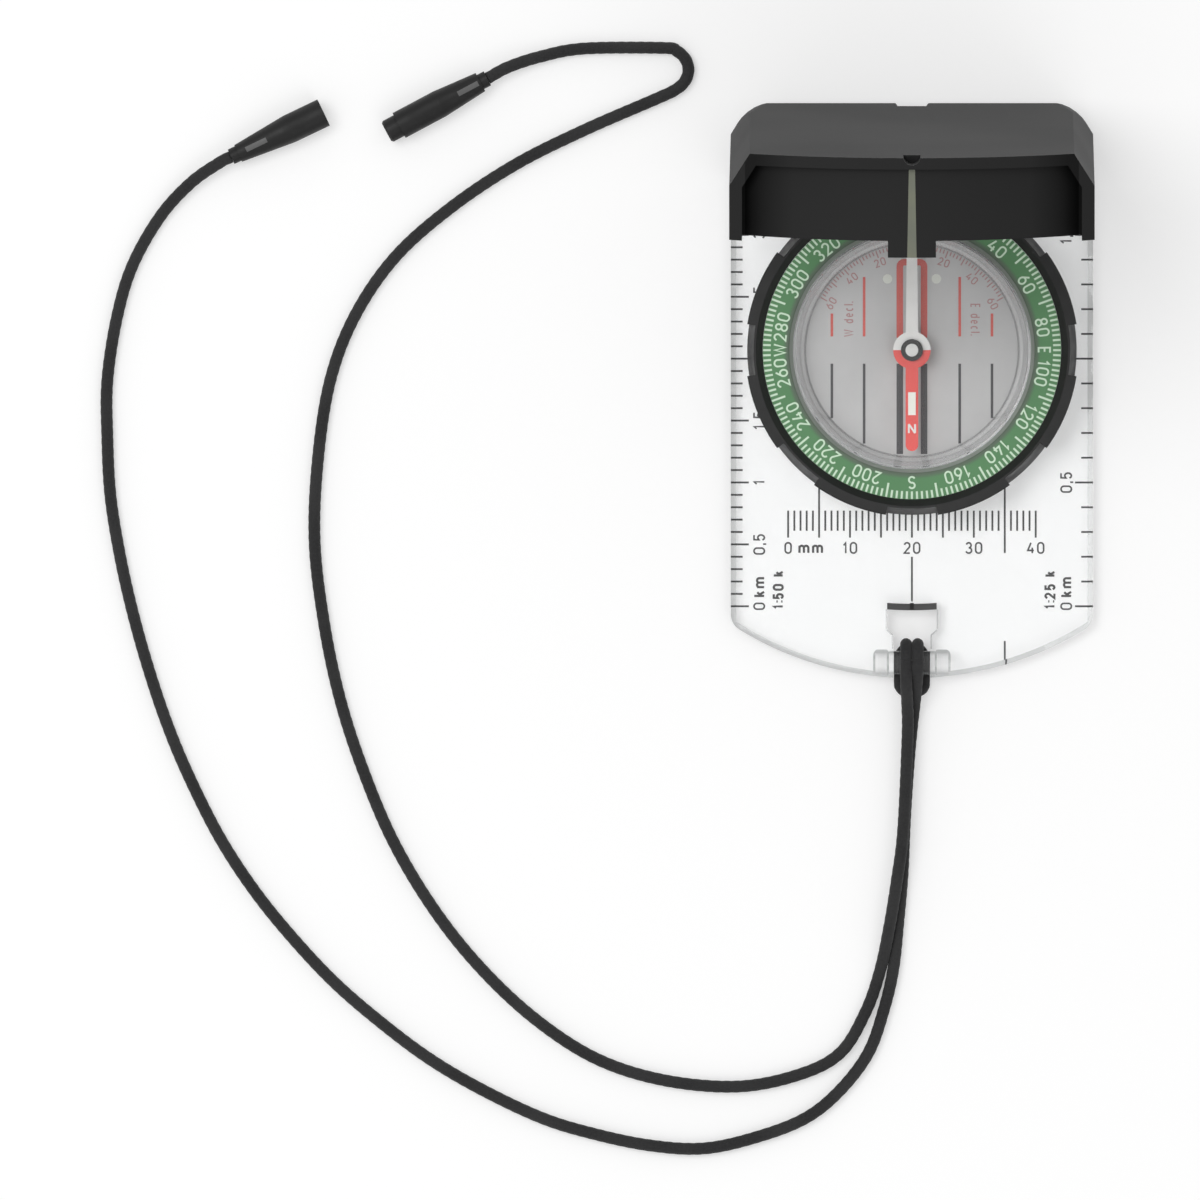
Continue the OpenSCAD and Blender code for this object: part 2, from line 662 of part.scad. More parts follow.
module vial_lens() {
    edge = 0.35;
    color([0.9, 0.93, 0.93, 0.3]) translate([0, 0, lens_z]) rotate_extrude($fn = 180)
        polygon([
            [0, 0], [lens_r, 0], [lens_r, lens_t - edge], [lens_r - edge, lens_t], [0, lens_t]
        ]);
}

module snap_ring() {
    r1 = spigot_r + snap_reach;
    color([0.2, 0.2, 0.2]) translate([0, 0, snap_z0]) difference() {
        cylinder(h = snap_t, r = r1);
        translate([0, 0, -cut]) cylinder(h = snap_t + 2 * cut, r = spigot_r - snap_groove + seat);
        translate([-snap_split / 2, 0, -cut]) cube([snap_split, r1 + cut, snap_t + 2 * cut]);
    }
}

module pivot_pin() {
    tip_r = 0.04;
    shank_h = 1.2;
    color("goldenrod") rotate_extrude() polygon([
        [0, floor_z], [pivot_r, floor_z], [pivot_r, disc_z + shank_h], [tip_r, tip_z], [0, tip_z]
    ]);
}

// ---- Needle ----

module needle_blade() {
    tail_y = needle_half - needle_tail_w / 2;
    head_y = needle_half - needle_w / 2;
    color([0.85, 0.2, 0.2]) translate([0, 0, blade_z]) linear_extrude(needle_t) difference() {
        union() {
            circle(needle_disc_r);
            translate([-needle_w / 2, -head_y]) square([needle_w, head_y]);
            translate([0, -head_y]) circle(needle_w / 2);
            polygon([
                [-needle_w / 2, 0], [needle_w / 2, 0], [needle_tail_w / 2, tail_y],
                [-needle_tail_w / 2, tail_y]
            ]);
            translate([0, tail_y]) circle(needle_tail_w / 2);
        }
        circle(hub_core_r + seat);
    }
}

module needle_hub() {
    foot_r = hub_core_r + 0.4;
    bore_r = jewel_r + seat;
    ring_z = blade_z + needle_t;
    color([0.1, 0.1, 0.1]) rotate_extrude() polygon([
        [bore_r, blade_z - hub_foot_h], [foot_r, blade_z - hub_foot_h], [foot_r, blade_z],
        [hub_core_r, blade_z], [hub_core_r, ring_z], [hub_r, ring_z], [hub_r, jewel_top],
        [bore_r, jewel_top]
    ]);
}

module needle_jewel() {
    cup_r = jewel_r - 0.2;
    apex_r = 0.06;
    apex_z = tip_z + pivot_gap;
    foot_z = blade_z - hub_foot_h;
    color([0.75, 0.3, 0.45]) rotate_extrude() polygon([
        [cup_r, foot_z], [jewel_r, foot_z], [jewel_r, jewel_top], [0, jewel_top],
        [0, apex_z], [apex_r, apex_z]
    ]);
}

module needle_cap() {
    edge = 0.08;
    color("white") translate([0, 0, jewel_top]) rotate_extrude() polygon([
        [0, 0], [cap_r, 0], [cap_r, cap_t - edge], [cap_r - edge, cap_t], [0, cap_t]
    ]);
}

module needle_lume() {
    color([0.93, 0.93, 0.9]) translate([-lume_w / 2, -lume_start - lume_len, blade_z + needle_t])
        cube([lume_w, lume_len, lume_t]);
}

// ---- Cover ----

// Slope of the cover's chamfers and the profile inside them
chamfer_len = norm([chamfer_w, chamfer_h]);
inner_x = half_w - cover_wall;
inner_t = top_t - cover_top_t;
chamfer_x = half_w - chamfer_t * chamfer_h / chamfer_len;
chamfer_z = top_t - chamfer_h - chamfer_t * chamfer_w / chamfer_len;
inner_side_t = chamfer_z + (chamfer_x - inner_x) * chamfer_h / chamfer_w;
inner_top_x = chamfer_x - (inner_t - chamfer_z) * chamfer_w / chamfer_h;

module cover_section(x, side_t, top_x, top, foot) {
    polygon([
        [-x, foot], [x, foot], [x, side_t], [top_x, top], [-top_x, top], [-x, side_t]
    ]);
}

// The cover's side view: a rim, a rounded heel and a stop edge behind the hinge
module cover_side() {
    heel = arc([heel_r - knuckle_r, top_t - heel_r], heel_r, 90, 180, 8);
    polygon(concat(
        [[0, rim_t], [lip_s, rim_t], [lip_s, top_t]], heel,
        [[-knuckle_r, heel_stop], [0, heel_stop]]
    ));
}

// A cylinder across the cover's depth, whose wall bows out to s at the free end
module end_arc(s, r) {
    translate([0, r - s, rim_t - tab_len - cut])
        cylinder(h = cover_depth + tab_len + 2 * cut, r = r, $fn = 180);
}

// The end panel's wall, as tall as the cover
module end_wall() {
    difference() {
        end_arc(cover_reach, panel_bow_r);
        end_arc(cover_reach - panel_t, panel_bow_r - panel_t);
    }
}

// Eases the corner between the outer wall and the chamfer. The tool leans away from the
// cover, so the corner is round at the hinge end and sharp towards the free end.
module heel_easing() {
    lean = 4.2;
    slope = atan2(chamfer_h, chamfer_w);
    reach = heel_corner_r * tan(slope / 2);
    corner = [half_w - chamfer_w, top_t];
    c = corner - [reach, heel_corner_r];
    out = [sin(slope / 2), cos(slope / 2)];
    translate([0, knuckle_r + cut, 0]) rotate([90, 0, 0]) translate(corner)
        rotate(a = lean, v = [-out.y, out.x, 0]) translate(-corner) linear_extrude(30)
            polygon(concat(
                arc(c, heel_corner_r, 90, 90 - slope, 6),
                [corner + [4, -4 * tan(slope)] + 4 * out, corner + 8 * out, c + [0, heel_corner_r + 4]]
            ));
}

module cover_block() {
    intersection() {
        along(-knuckle_r, lip_s)
            cover_section(half_w, top_t - chamfer_h, half_w - chamfer_w, top_t, rim_t);
        across(-half_w, half_w) cover_side();
        end_arc(lip_s, cover_end_r);
    }
    at_sides() bar_x(ear_x0, half_w, knuckle_r);
}

// The hollow inside the walls, and the recess in front of the end panel
module cover_hollow() {
    intersection() {
        along(heel_t - knuckle_r, lip_s + cut)
            cover_section(inner_x, inner_side_t, inner_top_x, inner_t, rim_t - cut);
        difference() {
            translate([-half_w, -lip_s - cut, rim_t - cut])
                cube([2 * half_w, lip_s + knuckle_r + cut, cover_depth]);
            end_wall();
        }
    }
    translate([-inner_x, -lip_s - cut, rim_t - cut])
        cube([2 * inner_x, lip_s - heel_r, panel_lift + cut]);
}

module latch_tab() {
    tab_t = rim_t + panel_lift - tab_len;
    intersection() {
        translate([-tab_half, -lip_s, tab_t]) cube([2 * tab_half, 2 * lip + panel_t, tab_len + cut]);
        end_wall();
    }
}

// The tapered sight line, from the tab's end to the outer wall
module sight_shape(depth, front) {
    tab_t = rim_t + panel_lift - tab_len;
    along(cover_reach - depth, cover_reach + front) polygon([
        [-sight_w1 / 2, tab_t], [sight_w1 / 2, tab_t], [sight_w0 / 2, inner_t],
        [-sight_w0 / 2, inner_t]
    ]);
}

module cover_shell() {
    color([0.17, 0.17, 0.17]) in_cover() difference() {
        union() {
            difference() {
                cover_block();
                cover_hollow();
            }
            latch_tab();
            at_sides() bar_x(ear_x0, half_w, knuckle_r);
        }
        sight_shape(sight_t, cut);
        at_sides() heel_easing();
        at_sides() bar_x(ear_x0 - cut, half_w + cut, pin_r + pin_gap);
        // room for the base's lugs as the cover turns
        at_sides() across(lug_x0 - lug_gap, ear_x0)
            translate([-knuckle_r - cut, rim_t - cut])
                square([2 * knuckle_r + cut, 2 * knuckle_r + cut + 1 + lug_gap]);
        translate([0, notch_len - lip_s, top_t + 0.2])
            rotate([90, 0, 0]) cylinder(h = notch_len + cut, r = notch_r);
        along(-knuckle_r - cut, hinge_notch_len) polygon([
            [-hinge_notch_half, top_t - hinge_notch_d], [hinge_notch_half, top_t - hinge_notch_d],
            [hinge_notch_half + hinge_notch_d, top_t + cut],
            [-hinge_notch_half - hinge_notch_d, top_t + cut]
        ]);
    }
}

module cover_mirror() {
    half = inner_top_x - 0.3;
    panel_c = cover_reach - panel_bow_r;
    end = panel_c + sqrt(pow(panel_bow_r - panel_t, 2) - pow(half, 2)) - mirror_border;
    start = heel_t - knuckle_r + mirror_border;
    color([0.8, 0.85, 0.9]) in_cover() translate([0, 0, mirror_face_t])
        linear_extrude(mirror_t) round_rect(-half, -end, half, -start, 2);
}

module sight_line() {
    color([0.48, 0.5, 0.44]) in_cover() sight_shape(sight_t, 0);
}

// ---- Lanyard ----

// Middle line of the hitch's left half: over the eyelet bar, outwards under it and
// round one corner of the loop. Each point comes with its ring's upward direction.
wrap_turns = [90:-22.5:-90];
function wrap_x(a) = -top_x - (low_x - top_x) * (1 - cos(2 * max(0, -a))) / 2;
hitch_left = concat(
    [[[-top_x, wrap_y - 0.3, bar_z + wrap_r], [0, 0, -1]]],
    [
        for (a = wrap_turns)
            [[wrap_x(a), wrap_y + wrap_r * cos(a), bar_z + wrap_r * sin(a)], [0, -cos(a), -sin(a)]]
    ],
    [
        for (a = [180:22.5:270])
            [[
                hitch_bend - low_x + hitch_bend * cos(a), loop_y + hitch_bend * (1 + sin(a)),
                low_strand_z
            ], [0, 0, 1]]
    ]
);
hitch_right = [
    for (i = [len(hitch_left) - 1:-1:0])
        let (p = hitch_left[i][0]) [[-p.x, p.y, p.z], hitch_left[i][1]]
];

module lanyard_hitch() {
    points = concat(hitch_left, hitch_right);
    color([0.2, 0.2, 0.2])
        swept_tube([for (p = points) p[0]], cord_r, cord_sides, [for (p = points) p[1]]);
}

module cord_outer() {
    color([0.2, 0.2, 0.2]) swept_tube(outer_route, cord_r, cord_sides);
}

module cord_inner() {
    color([0.2, 0.2, 0.2]) swept_tube(inner_route, cord_r, cord_sides);
}

// Places what is drawn along +X from a cord's end, at the height of its axis
module at_cord_end(route, turn, axis_z) {
    end = route[len(route) - 1];
    translate([end.x, end.y, axis_z]) rotate([0, 0, turn]) rotate([0, 90, 0]) children();
}

module socket_place() {
    at_cord_end(outer_route, socket_turn, socket_d / 2) children();
}

module plug_place() {
    at_cord_end(inner_route, plug_turn, plug_d / 2) children();
}

// A connector's body, from its rear through a taper to its full diameter
module connector_form(length, rear_d, full_d, taper) {
    translate([0, 0, collar_len]) rotate_extrude($fn = 48) polygon([
        [0, 0], [rear_d / 2, 0], [full_d / 2, taper], [full_d / 2, length], [0, length]
    ]);
}

// The box that an inset fills, on the connector's upper side
module inset_box(middle, rear_d, full_d, taper) {
    surface_r = rear_d / 2 + (full_d - rear_d) / 2 * (middle - collar_len) / taper;
    translate([-full_d, -inset_w / 2, middle - inset_len / 2])
        cube([full_d - surface_r + inset_t, inset_w, inset_len]);
}

module socket_body() {
    mouth_r = nose_d / 2 + 0.1;
    color([0.14, 0.14, 0.14]) socket_place() difference() {
        connector_form(socket_len, socket_rear_d, socket_d, socket_taper);
        inset_box(socket_inset_at, socket_rear_d, socket_d, socket_taper);
        translate([0, 0, collar_len + socket_len - nose_len - cut])
            cylinder(h = nose_len + 2 * cut, r = mouth_r);
    }
}

module connector_collar() {
    color([0.12, 0.12, 0.12]) translate([0, 0, seat])
        cylinder(h = collar_len - seat, r = collar_d / 2);
}

module socket_collar() {
    socket_place() connector_collar();
}

module socket_inset() {
    color([0.4, 0.4, 0.4]) socket_place() intersection() {
        connector_form(socket_len, socket_rear_d, socket_d, socket_taper);
        inset_box(socket_inset_at, socket_rear_d, socket_d, socket_taper);
    }
}

module plug_body() {
    color([0.14, 0.14, 0.14]) plug_place() difference() {
        connector_form(plug_len, plug_rear_d, plug_d, plug_taper);
        inset_box(plug_inset_at, plug_rear_d, plug_d, plug_taper);
    }
}

module plug_nose() {
    edge = 0.3;
    color([0.14, 0.14, 0.14]) plug_place() translate([0, 0, collar_len + plug_len])
        rotate_extrude($fn = 48) polygon([
            [0, 0], [nose_d / 2, 0], [nose_d / 2, nose_len - edge],
            [nose_d / 2 - edge, nose_len], [0, nose_len]
        ]);
}

module plug_collar() {
    plug_place() connector_collar();
}

module plug_inset() {
    color([0.4, 0.4, 0.4]) plug_place() intersection() {
        connector_form(plug_len, plug_rear_d, plug_d, plug_taper);
        inset_box(plug_inset_at, plug_rear_d, plug_d, plug_taper);
    }
}

baseplate();
catch_bar();
hinge_pins();
hinge_washers();
bezel_ring();
dial_ring();
vial_bowl();
vial_floor();
vial_lens();
lume_dots();
snap_ring();
pivot_pin();
needle_blade();
needle_hub();
needle_jewel();
needle_cap();
needle_lume();
cover_shell();
cover_mirror();
sight_line();
lanyard_hitch();
cord_outer();
cord_inner();
socket_body();
socket_collar();
socket_inset();
plug_body();
plug_nose();
plug_collar();
plug_inset();
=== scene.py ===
"""Looks of a baseplate compass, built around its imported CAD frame."""

import math

import bpy
import numpy as np
from mathutils import Matrix, Vector


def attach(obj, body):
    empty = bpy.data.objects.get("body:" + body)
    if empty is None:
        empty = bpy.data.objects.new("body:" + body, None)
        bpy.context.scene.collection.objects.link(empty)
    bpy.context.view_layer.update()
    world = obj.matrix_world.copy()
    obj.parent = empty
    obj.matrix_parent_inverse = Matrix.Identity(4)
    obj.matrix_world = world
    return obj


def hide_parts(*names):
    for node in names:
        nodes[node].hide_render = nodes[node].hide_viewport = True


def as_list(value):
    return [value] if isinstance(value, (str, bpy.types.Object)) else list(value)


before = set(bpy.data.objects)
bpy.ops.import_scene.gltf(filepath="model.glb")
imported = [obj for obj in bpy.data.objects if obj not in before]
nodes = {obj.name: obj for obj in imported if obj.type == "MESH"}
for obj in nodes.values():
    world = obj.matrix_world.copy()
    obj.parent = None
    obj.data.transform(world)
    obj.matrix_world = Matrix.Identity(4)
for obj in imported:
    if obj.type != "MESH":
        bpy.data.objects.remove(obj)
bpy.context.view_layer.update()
scene = bpy.context.scene
MM = 0.001


# ---- Node helpers ----

def new_material(name):
    material = bpy.data.materials.new(name)
    material.use_nodes = True
    tree = material.node_tree
    return material, tree, tree.nodes["Principled BSDF"]


def dress(node, **values):
    """Sets a node's inputs by name, with _ for a space."""
    for key, value in values.items():
        node.inputs[key.replace("_", " ")].default_value = value
    return node


def add(tree, kind, **values):
    """A new node, with its inputs set by name."""
    return dress(tree.nodes.new(kind), **values)


def maths(tree, operation, *values):
    """The result of a maths node on sockets or numbers."""
    node = tree.nodes.new("ShaderNodeMath")
    node.operation = operation
    for socket, value in zip(node.inputs, values):
        if isinstance(value, bpy.types.NodeSocket):
            tree.links.new(value, socket)
        else:
            socket.default_value = value
    return node.outputs[0]


def one_axis(tree, kind, axis):
    """One axis of the piece's own coordinates (Object) or of its normals (Normal)."""
    place = tree.nodes.new("ShaderNodeTexCoord")
    parts = tree.nodes.new("ShaderNodeSeparateXYZ")
    tree.links.new(place.outputs[kind], parts.inputs[0])
    return parts.outputs[axis]


def noise(tree, scale, detail=2.0, stretch=None):
    """Noise over the piece's own coordinates, in cycles a metre."""
    place = tree.nodes.new("ShaderNodeTexCoord")
    texture = add(tree, "ShaderNodeTexNoise", Scale=scale, Detail=detail)
    if stretch:
        mapping = add(tree, "ShaderNodeMapping", Scale=stretch)
        tree.links.new(place.outputs["Object"], mapping.inputs["Vector"])
        tree.links.new(mapping.outputs[0], texture.inputs["Vector"])
    else:
        tree.links.new(place.outputs["Object"], texture.inputs["Vector"])
    return texture.outputs[0]


def spread(tree, source, low, high, start=0.35, end=0.65):
    """Maps start to end on low to high, which by default takes in most of a noise."""
    node = dress(tree.nodes.new("ShaderNodeMapRange"),
                 From_Min=start, From_Max=end, To_Min=low, To_Max=high)
    tree.links.new(source, node.inputs["Value"])
    return node.outputs["Result"]


def blend_colours(tree, fac, first, second):
    node = tree.nodes.new("ShaderNodeMix")
    node.data_type = "RGBA"
    tree.links.new(fac, node.inputs["Factor"])
    for key, value in (("A", first), ("B", second)):
        if isinstance(value, bpy.types.NodeSocket):
            tree.links.new(value, node.inputs[key])
        else:
            node.inputs[key].default_value = (*value, 1)
    return node.outputs["Result"]


def roughen(tree, surface, height, depth, strength=1.0):
    """Bumps a surface by a height socket, depth metres deep."""
    bump = add(tree, "ShaderNodeBump", Strength=strength, Distance=depth)
    tree.links.new(height, bump.inputs["Height"])
    tree.links.new(bump.outputs["Normal"], surface.inputs["Normal"])


def uneven_sheen(tree, surface, scale, detail, low, high):
    tree.links.new(spread(tree, noise(tree, scale, detail), low, high),
                   surface.inputs["Roughness"])


# ---- Camera, floor and light ----

PICTURE_WIDTH = 193.9 * MM
PICTURE_CENTRE = Vector((-50.4, -40.4, 0)) * MM
# The camera stands over this place on the plate, near the cover's hinge
CAMERA_Y = 30 * MM
LENS, SENSOR = 1450.0, 36.0
FLOOR_SIZE = 40
FLOOR_Z = -0.02 * MM
FLOOR_GREY = 0.64
FLOOR_LIFT = 0.40
WORLD_LIGHT = 0.62


def make_camera():
    """Looks straight down on the plate with a long lens, framed on the whole lanyard."""
    data = bpy.data.cameras.new("camera")
    data.lens, data.sensor_width = LENS, SENSOR
    distance = PICTURE_WIDTH * LENS / SENSOR
    data.clip_start, data.clip_end = 0.1, 4 * distance
    cam = bpy.data.objects.new("camera", data)
    scene.collection.objects.link(cam)
    stand = Vector((0, CAMERA_Y, distance))
    back = (stand - PICTURE_CENTRE).normalized()
    right = Vector((0, 1, 0)).cross(back).normalized()
    turn = Matrix((right, back.cross(right), back)).transposed()
    cam.matrix_world = Matrix.Translation(stand) @ turn.to_4x4()
    scene.camera = cam


def make_floor():
    """A pale floor that keeps its shadows, and is lifted to white where it is seen."""
    bpy.ops.mesh.primitive_plane_add(size=FLOOR_SIZE)
    floor = bpy.context.object
    floor.name = "floor"
    floor.location.z = FLOOR_Z
    material, tree, surface = new_material("floor")
    dress(surface, Base_Color=(FLOOR_GREY, FLOOR_GREY, FLOOR_GREY, 1), Roughness=1.0,
          Specular_IOR_Level=0.0)
    lift = add(tree, "ShaderNodeEmission", Color=(1, 1, 1, 1))
    path = tree.nodes.new("ShaderNodeLightPath")
    seen = path.outputs["Is Camera Ray"]
    for ray in ("Is Transmission Ray", "Is Glossy Ray"):
        seen = maths(tree, "MAXIMUM", seen, path.outputs[ray])
    tree.links.new(maths(tree, "MULTIPLY", seen, FLOOR_LIFT), lift.inputs["Strength"])
    both = tree.nodes.new("ShaderNodeAddShader")
    tree.links.new(surface.outputs[0], both.inputs[0])
    tree.links.new(lift.outputs[0], both.inputs[1])
    tree.links.new(both.outputs[0], tree.nodes["Material Output"].inputs["Surface"])
    floor.data.materials.append(material)


def make_lamp(name, place, power, size=0.9):
    """A round softbox that faces the middle of the plate."""
    data = bpy.data.lights.new(name, "AREA")
    data.shape = "DISK"
    data.size = size
    data.energy = power
    lamp = bpy.data.objects.new(name, data)
    scene.collection.objects.link(lamp)
    lamp.location = place
    lamp.rotation_euler = (-Vector(place)).to_track_quat("-Z", "Y").to_euler()


def make_light():
    world = bpy.data.worlds.new("studio")
    world.use_nodes = True
    dress(world.node_tree.nodes["Background"], Color=(1, 1, 1, 1), Strength=WORLD_LIGHT)
    scene.world = world
    make_lamp("key", (-0.6, 0.3, 1.4), 7.6)
    make_lamp("fill", (0.5, -0.9, 1.3), 2.2)
    scene.view_settings.view_transform = "Standard"


# ---- Materials ----

# Noise scales in cycles a metre, shared by several plastics
MOTTLE, SHEEN = 90.0, 400.0


def plastic(name, dark, light, roughness, grain=4000.0, depth=0.01 * MM, gloss=0.5):
    """Moulded plastic: a faint mottle, an uneven sheen and a fine grain."""
    material, tree, surface = new_material(name)
    mottle = spread(tree, noise(tree, MOTTLE, 4.0), 0, 1)
    tree.links.new(blend_colours(tree, mottle, dark, light), surface.inputs["Base Color"])
    uneven_sheen(tree, surface, SHEEN, 3.0, roughness - 0.05, roughness + 0.06)
    dress(surface, Specular_IOR_Level=gloss)
    roughen(tree, surface, noise(tree, grain, 2.0), depth)
    return material


def slope(tree):
    """0 on level faces and 1 on steep ones, from the piece's own normals."""
    level_face = maths(tree, "ABSOLUTE", one_axis(tree, "Normal", "Z"))
    return spread(tree, level_face, 0, 1, 0.97, 0.65)


def clear(name, tint, painted_steep_shading, roughness, passed, passed_edge, ior=1.49, milk=0.0):
    """Clear moulded plastic, with painted shade that makes it greyer on its steep edges. Lamps
    shine through it unbent.
    """
    material, tree, surface = new_material(name)
    steep = slope(tree)
    # Painted shade: the colour turns from the tint to the painted steep shading on steep faces
    tree.links.new(blend_colours(tree, steep, tint, painted_steep_shading), surface.inputs["Base Color"])
    dress(surface, Roughness=roughness, IOR=ior, Transmission_Weight=1.0 - milk)
    through = tree.nodes.new("ShaderNodeBsdfTransparent")
    tree.links.new(
        blend_colours(tree, steep, [passed] * 3, [passed_edge] * 3), through.inputs["Color"])
    path = tree.nodes.new("ShaderNodeLightPath")
    mix = tree.nodes.new("ShaderNodeMixShader")
    tree.links.new(path.outputs["Is Shadow Ray"], mix.inputs[0])
    tree.links.new(surface.outputs[0], mix.inputs[1])
    tree.links.new(through.outputs[0], mix.inputs[2])
    tree.links.new(mix.outputs[0], tree.nodes["Material Output"].inputs["Surface"])
    return material


def metal(name, colour, roughness, brushed):
    """Brushed metal, with its lines drawn out along the axis that brushed holds least."""
    material, tree, surface = new_material(name)
    dress(surface, Metallic=1.0)
    lines = noise(tree, 900.0, 3.0, stretch=brushed)
    tree.links.new(blend_colours(tree, lines, [0.8 * c for c in colour], colour),
                   surface.inputs["Base Color"])
    tree.links.new(spread(tree, lines, roughness - 0.08, roughness + 0.08),
                   surface.inputs["Roughness"])
    roughen(tree, surface, lines, 0.004 * MM)
    return material


def ink(name, colour, thin):
    """Printed ink, paler by the share thin where it covers least."""
    material, tree, surface = new_material(name)
    patchy = noise(tree, 1500.0, 3.0)
    tree.links.new(blend_colours(tree, patchy, [c * (1 + thin) for c in colour], colour),
                   surface.inputs["Base Color"])
    dress(surface, Roughness=0.55, Specular_IOR_Level=0.2)
    roughen(tree, surface, patchy, 0.002 * MM)
    return material


def needle_paint():
    """Red enamel on the north half and white on the south half, split across the pivot."""
    material, tree, surface = new_material("needle_paint")
    south = maths(tree, "GREATER_THAN", one_axis(tree, "Object", "Y"), 0.0)
    mottle = noise(tree, 700.0, 3.0)
    red = blend_colours(tree, mottle, (0.76, 0.06, 0.05), (0.84, 0.08, 0.065))
    white = blend_colours(tree, mottle, (0.80, 0.80, 0.78), (0.86, 0.86, 0.84))
    tree.links.new(blend_colours(tree, south, red, white), surface.inputs["Base Color"])
    dress(surface, Roughness=0.35)
    roughen(tree, surface, mottle, 0.003 * MM)
    return material


def mirror_glass():
    material, tree, surface = new_material("mirror")
    dress(surface, Metallic=1.0, Base_Color=(0.86, 0.88, 0.89, 1), Roughness=0.02)
    roughen(tree, surface, noise(tree, 40.0, 1.0), 0.001 * MM, 0.2)
    return material


def cord_weave():
    """Black braid: the lay comes from the mesh, and the nodes add fibres and fuzz."""
    material, tree, surface = new_material("cord_braid")
    fibre = noise(tree, 2600.0, 3.0)
    worn = spread(tree, noise(tree, 120.0, 2.0), 0, 0.3)
    deep = blend_colours(tree, fibre, (0.012, 0.012, 0.0125), (0.034, 0.034, 0.035))
    tree.links.new(blend_colours(tree, worn, deep, (0.05, 0.05, 0.05)),
                   surface.inputs["Base Color"])
    dress(surface, Roughness=0.85, Specular_IOR_Level=0.25, Sheen_Weight=0.15,
          Sheen_Roughness=0.5)
    roughen(tree, surface, fibre, 0.03 * MM, 0.6)
    return material


# Radii between which the dial's colour changes: from pale to a painted shade over its inner
# chamfer, then from that painted shade to full green
DIAL_CHAMFER = (19.7 * MM, 19.9 * MM)
DIAL_GREEN = (20.2 * MM, 20.8 * MM)


def dial_green():
    """Green dial plastic, pale on its inner chamfer, with painted shade of dark grey-green
    beside it.
    """
    material, tree, surface = new_material("dial_green")
    place = tree.nodes.new("ShaderNodeTexCoord")
    flat = add(tree, "ShaderNodeMapping", Scale=(1, 1, 0))
    tree.links.new(place.outputs["Object"], flat.inputs["Vector"])
    length = tree.nodes.new("ShaderNodeVectorMath")
    length.operation = "LENGTH"
    tree.links.new(flat.outputs[0], length.inputs[0])
    radius = length.outputs["Value"]
    green = blend_colours(tree, noise(tree, MOTTLE, 4.0),
                          (0.103, 0.255, 0.113), (0.125, 0.30, 0.137))
    # Painted shade: a dark grey-green band just outside the inner chamfer
    inner = blend_colours(tree, spread(tree, radius, 0, 1, *DIAL_CHAMFER),
                          (0.35, 0.39, 0.35), (0.125, 0.175, 0.125))
    tree.links.new(blend_colours(tree, spread(tree, radius, 0, 1, *DIAL_GREEN), inner, green),
                   surface.inputs["Base Color"])
    uneven_sheen(tree, surface, SHEEN, 3.0, 0.37, 0.48)
    dress(surface, Specular_IOR_Level=0.35)
    return material


# Half widths of the cover: where the painted shade on its end panel starts, where it is
# darkest, and the inside of the side walls, where the painted shade stops
RECESS_PAINTED_SHADE_SPAN = (19 * MM, 25 * MM)
WALL = (26.7 * MM, 26.75 * MM)


def cover_plastic():
    """The cover's plastic, with painted shade where its end panel sinks between the side walls.
    """
    material, tree, surface = new_material("cover_plastic")
    aside = maths(tree, "ABSOLUTE", one_axis(tree, "Object", "X"))
    roof = spread(tree, one_axis(tree, "Normal", "Z"), 0, 1, 0.7, 0.75)
    recess_painted_shade = maths(tree, "MULTIPLY", roof, spread(tree, aside, 0, 1, *RECESS_PAINTED_SHADE_SPAN))
    recess_painted_shade = maths(tree, "MULTIPLY", recess_painted_shade, spread(tree, aside, 1, 0, *WALL))
    plain = blend_colours(tree, noise(tree, 20.0, 1.0), [0.0118] * 3, [0.0145] * 3)
    # Painted shade: upward faces near the ends of the end panel turn near black
    tree.links.new(blend_colours(tree, recess_painted_shade, plain, [0.001] * 3),
                   surface.inputs["Base Color"])
    uneven_sheen(tree, surface, 30.0, 1.0, 0.57, 0.61)
    dress(surface, Specular_IOR_Level=0.2)
    return material


BLACK = plastic("black_plastic", (0.012, 0.012, 0.012), (0.0155, 0.0155, 0.0155), 0.5,
                gloss=0.4)
COVER = cover_plastic()
RUBBER = plastic("connector_plastic", (0.007, 0.007, 0.007), (0.0105, 0.0105, 0.0105), 0.5,
                 grain=9000.0, depth=0.003 * MM, gloss=0.35)
GREY = plastic("grey_plastic", (0.04, 0.04, 0.04), (0.052, 0.052, 0.052), 0.5)
INSET = plastic("inset_plastic", (0.085, 0.085, 0.085), (0.11, 0.11, 0.11), 0.5)
WASHER = plastic("washer_plastic", (0.5, 0.47, 0.38), (0.56, 0.53, 0.43), 0.4)
WHITE = plastic("white_plastic", (0.72, 0.73, 0.71), (0.78, 0.79, 0.77), 0.3)
LUME = plastic("luminous", (0.86, 0.85, 0.78), (0.92, 0.90, 0.84), 0.5)
DOTS = plastic("luminous_dots", (0.68, 0.70, 0.64), (0.74, 0.76, 0.70), 0.5)
SIGHT = plastic("sight_paint", (0.13, 0.14, 0.115), (0.18, 0.19, 0.13), 0.5)
DIAL = dial_green()
DISC = plastic("printed_floor", (0.53, 0.53, 0.53), (0.57, 0.57, 0.57), 0.6,
               grain=2500.0, depth=0.006 * MM, gloss=0.2)
